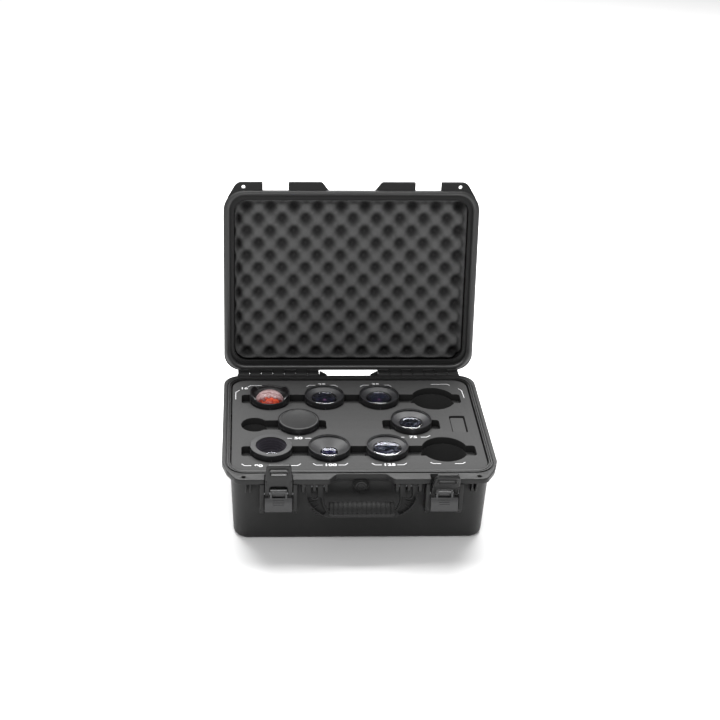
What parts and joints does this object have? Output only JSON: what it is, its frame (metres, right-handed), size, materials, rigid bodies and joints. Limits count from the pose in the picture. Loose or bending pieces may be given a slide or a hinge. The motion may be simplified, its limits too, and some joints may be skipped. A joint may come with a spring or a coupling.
{
  "type": "cine lens case",
  "caption": "Hard transport case standing open, with latches, handle and hinged foam-lined lid, holding camera lenses upright in cut foam pockets",
  "frame": {"origin": "centre of the base's flat underside, below the centre of its rim", "axes": "-Z is the outward normal of the underside the case stands on; +Y runs from the latches to the hinges; +X is to the right when the case is seen from its latch side"},
  "size_m": [0.515, 0.55, 0.5431],
  "materials": {
    "case_plastic": "fine matte texture",
    "latch_plastic": "satin moulded nylon",
    "lever_plastic": "satin moulded nylon, lighter than the case",
    "rubber": "soft solid seal cord",
    "grip_rubber": "ribbed overmould",
    "pin_steel": "drawn rod",
    "foam": "closed-cell foam, fine grain",
    "lid_foam": "open-cell convoluted foam",
    "lens_black": "black anodised, satin",
    "lens_ring": "black anodised, gear-cut rings",
    "lens_cap": "fine satin moulding",
    "lens_glass": "coated optical glass"
  },
  "bodies": {
    "case_base": {"base_shell": "case_plastic", "hinge_pin_left": "pin_steel", "hinge_pin_right": "pin_steel", "latch_left_pin": "pin_steel", "latch_right_pin": "pin_steel", "handle_pin_left": "pin_steel", "handle_pin_right": "pin_steel", "valve_housing": "case_plastic", "foam_base_pad": "foam", "foam_core_front_left": "foam", "foam_core_front_right": "foam", "foam_core_middle_left": "foam", "foam_core_middle_right": "foam", "foam_core_back_left": "foam", "foam_core_back_right": "foam", "foam_top_layer": "foam"},
    "case_lid": {"lid_shell": "case_plastic", "lid_gasket": "rubber", "lid_foam": "lid_foam"},
    "latch_left_hook_body": {"latch_left_hook": "latch_plastic"},
    "latch_right_hook_body": {"latch_right_hook": "latch_plastic"},
    "latch_left_lever_body": {"latch_left_lever": "lever_plastic"},
    "latch_right_lever_body": {"latch_right_lever": "lever_plastic"},
    "handle": {"handle_frame": "case_plastic", "handle_grip": "grip_rubber"},
    "valve_knob_body": {"valve_knob": "latch_plastic"},
    "plug_body": {"foam_plug": "foam"},
    "cap_body": {"lens_cap": "lens_cap"},
    "lens_16_body": {"lens_16_barrel": "lens_black", "lens_16_front_glass": "lens_glass"},
    "lens_16_focus_body": {"lens_16_focus_ring": "lens_ring"},
    "lens_16_iris_body": {"lens_16_iris_ring": "lens_ring"},
    "lens_25_body": {"lens_25_barrel": "lens_black", "lens_25_front_glass": "lens_glass"},
    "lens_25_focus_body": {"lens_25_focus_ring": "lens_ring"},
    "lens_25_iris_body": {"lens_25_iris_ring": "lens_ring"},
    "lens_35_body": {"lens_35_barrel": "lens_black", "lens_35_front_glass": "lens_glass"},
    "lens_35_focus_body": {"lens_35_focus_ring": "lens_ring"},
    "lens_35_iris_body": {"lens_35_iris_ring": "lens_ring"},
    "lens_50_body": {"lens_50_barrel": "lens_black", "lens_50_front_glass": "lens_glass"},
    "lens_50_focus_body": {"lens_50_focus_ring": "lens_ring"},
    "lens_50_iris_body": {"lens_50_iris_ring": "lens_ring"},
    "lens_75_body": {"lens_75_barrel": "lens_black", "lens_75_front_glass": "lens_glass"},
    "lens_75_focus_body": {"lens_75_focus_ring": "lens_ring"},
    "lens_75_iris_body": {"lens_75_iris_ring": "lens_ring"},
    "lens_90_body": {"lens_90_barrel": "lens_black", "lens_90_front_glass": "lens_glass"},
    "lens_90_focus_body": {"lens_90_focus_ring": "lens_ring"},
    "lens_90_iris_body": {"lens_90_iris_ring": "lens_ring"},
    "lens_100_body": {"lens_100_barrel": "lens_black", "lens_100_front_glass": "lens_glass"},
    "lens_100_focus_body": {"lens_100_focus_ring": "lens_ring"},
    "lens_100_iris_body": {"lens_100_iris_ring": "lens_ring"},
    "lens_125_body": {"lens_125_barrel": "lens_black", "lens_125_front_glass": "lens_glass"},
    "lens_125_focus_body": {"lens_125_focus_ring": "lens_ring"},
    "lens_125_iris_body": {"lens_125_iris_ring": "lens_ring"}
  },
  "joints": [
    {"name": "lid_hinge", "type": "hinge", "parent": "case_base", "child": "case_lid", "pos_m": [0, 0.206, 0.1455], "axis": [-1, 0, 0], "range_deg": [-99.5, 0]},
    {"name": "handle_swing", "type": "hinge", "parent": "case_base", "child": "handle", "pos_m": [0, -0.19, 0.1315], "axis": [-1, 0, 0], "range_deg": [-24, 62]},
    {"name": "latch_left_hook_swing", "type": "hinge", "parent": "case_base", "child": "latch_left_hook_body", "pos_m": [-0.15275, -0.1959, 0.118], "axis": [1, 0, 0], "range_deg": [-15.5, 58.5]},
    {"name": "latch_right_hook_swing", "type": "hinge", "parent": "case_base", "child": "latch_right_hook_body", "pos_m": [0.15275, -0.1959, 0.118], "axis": [1, 0, 0], "range_deg": [-43, 31]},
    {"name": "latch_left_lever_swing", "type": "hinge", "parent": "case_base", "child": "latch_left_lever_body", "pos_m": [-0.15275, -0.1959, 0.118], "axis": [-1, 0, 0], "range_deg": [0, 30]},
    {"name": "latch_right_lever_swing", "type": "hinge", "parent": "case_base", "child": "latch_right_lever_body", "pos_m": [0.15275, -0.1959, 0.118], "axis": [-1, 0, 0], "range_deg": [0, 30]},
    {"name": "valve_knob_turn", "type": "hinge", "parent": "case_base", "child": "valve_knob_body", "pos_m": [0, -0.185, 0.1245], "axis": [0, -1, 0], "range_deg": [0, 90]},
    {"name": "plug_lift", "type": "slide", "parent": "case_base", "child": "plug_body", "axis": [0, 0, 1], "range_m": [0, 0.06]},
    {"name": "lens_cap_lift", "type": "slide", "parent": "lens_50_body", "child": "cap_body", "axis": [0, 0, 1], "range_m": [0, 0.04]},
    {"name": "lens_16_lift", "type": "slide", "parent": "case_base", "child": "lens_16_body", "axis": [0, 0, 1], "range_m": [0, 0.14]},
    {"name": "lens_25_lift", "type": "slide", "parent": "case_base", "child": "lens_25_body", "axis": [0, 0, 1], "range_m": [0, 0.14]},
    {"name": "lens_35_lift", "type": "slide", "parent": "case_base", "child": "lens_35_body", "axis": [0, 0, 1], "range_m": [0, 0.14]},
    {"name": "lens_50_lift", "type": "slide", "parent": "case_base", "child": "lens_50_body", "axis": [0, 0, 1], "range_m": [0, 0.14]},
    {"name": "lens_75_lift", "type": "slide", "parent": "case_base", "child": "lens_75_body", "axis": [0, 0, 1], "range_m": [0, 0.14]},
    {"name": "lens_90_lift", "type": "slide", "parent": "case_base", "child": "lens_90_body", "axis": [0, 0, 1], "range_m": [0, 0.14]},
    {"name": "lens_100_lift", "type": "slide", "parent": "case_base", "child": "lens_100_body", "axis": [0, 0, 1], "range_m": [0, 0.14]},
    {"name": "lens_125_lift", "type": "slide", "parent": "case_base", "child": "lens_125_body", "axis": [0, 0, 1], "range_m": [0, 0.14]},
    {"name": "lens_16_focus_turn", "type": "hinge", "parent": "lens_16_body", "child": "lens_16_focus_body", "pos_m": [-0.165, 0.104, 0.127], "axis": [0, 0, 1], "range_deg": [0, 270]},
    {"name": "lens_25_focus_turn", "type": "hinge", "parent": "lens_25_body", "child": "lens_25_focus_body", "pos_m": [-0.055, 0.104, 0.127], "axis": [0, 0, 1], "range_deg": [0, 270]},
    {"name": "lens_35_focus_turn", "type": "hinge", "parent": "lens_35_body", "child": "lens_35_focus_body", "pos_m": [0.055, 0.104, 0.127], "axis": [0, 0, 1], "range_deg": [0, 270]},
    {"name": "lens_50_focus_turn", "type": "hinge", "parent": "lens_50_body", "child": "lens_50_focus_body", "pos_m": [-0.11, 0.007, 0.127], "axis": [0, 0, 1], "range_deg": [0, 270]},
    {"name": "lens_75_focus_turn", "type": "hinge", "parent": "lens_75_body", "child": "lens_75_focus_body", "pos_m": [0.11, 0.007, 0.127], "axis": [0, 0, 1], "range_deg": [0, 270]},
    {"name": "lens_90_focus_turn", "type": "hinge", "parent": "lens_90_body", "child": "lens_90_focus_body", "pos_m": [-0.165, -0.09, 0.127], "axis": [0, 0, 1], "range_deg": [0, 270]},
    {"name": "lens_100_focus_turn", "type": "hinge", "parent": "lens_100_body", "child": "lens_100_focus_body", "pos_m": [-0.055, -0.09, 0.127], "axis": [0, 0, 1], "range_deg": [0, 270]},
    {"name": "lens_125_focus_turn", "type": "hinge", "parent": "lens_125_body", "child": "lens_125_focus_body", "pos_m": [0.055, -0.09, 0.127], "axis": [0, 0, 1], "range_deg": [0, 270]},
    {"name": "lens_16_iris_turn", "type": "hinge", "parent": "lens_16_body", "child": "lens_16_iris_body", "pos_m": [-0.165, 0.104, 0.0985], "axis": [0, 0, 1], "range_deg": [0, 75]},
    {"name": "lens_25_iris_turn", "type": "hinge", "parent": "lens_25_body", "child": "lens_25_iris_body", "pos_m": [-0.055, 0.104, 0.0985], "axis": [0, 0, 1], "range_deg": [0, 75]},
    {"name": "lens_35_iris_turn", "type": "hinge", "parent": "lens_35_body", "child": "lens_35_iris_body", "pos_m": [0.055, 0.104, 0.0985], "axis": [0, 0, 1], "range_deg": [0, 75]},
    {"name": "lens_50_iris_turn", "type": "hinge", "parent": "lens_50_body", "child": "lens_50_iris_body", "pos_m": [-0.11, 0.007, 0.0985], "axis": [0, 0, 1], "range_deg": [0, 75]},
    {"name": "lens_75_iris_turn", "type": "hinge", "parent": "lens_75_body", "child": "lens_75_iris_body", "pos_m": [0.11, 0.007, 0.0985], "axis": [0, 0, 1], "range_deg": [0, 75]},
    {"name": "lens_90_iris_turn", "type": "hinge", "parent": "lens_90_body", "child": "lens_90_iris_body", "pos_m": [-0.165, -0.09, 0.0985], "axis": [0, 0, 1], "range_deg": [0, 75]},
    {"name": "lens_100_iris_turn", "type": "hinge", "parent": "lens_100_body", "child": "lens_100_iris_body", "pos_m": [-0.055, -0.09, 0.0985], "axis": [0, 0, 1], "range_deg": [0, 75]},
    {"name": "lens_125_iris_turn", "type": "hinge", "parent": "lens_125_body", "child": "lens_125_iris_body", "pos_m": [0.055, -0.09, 0.0985], "axis": [0, 0, 1], "range_deg": [0, 75]}
  ]
}
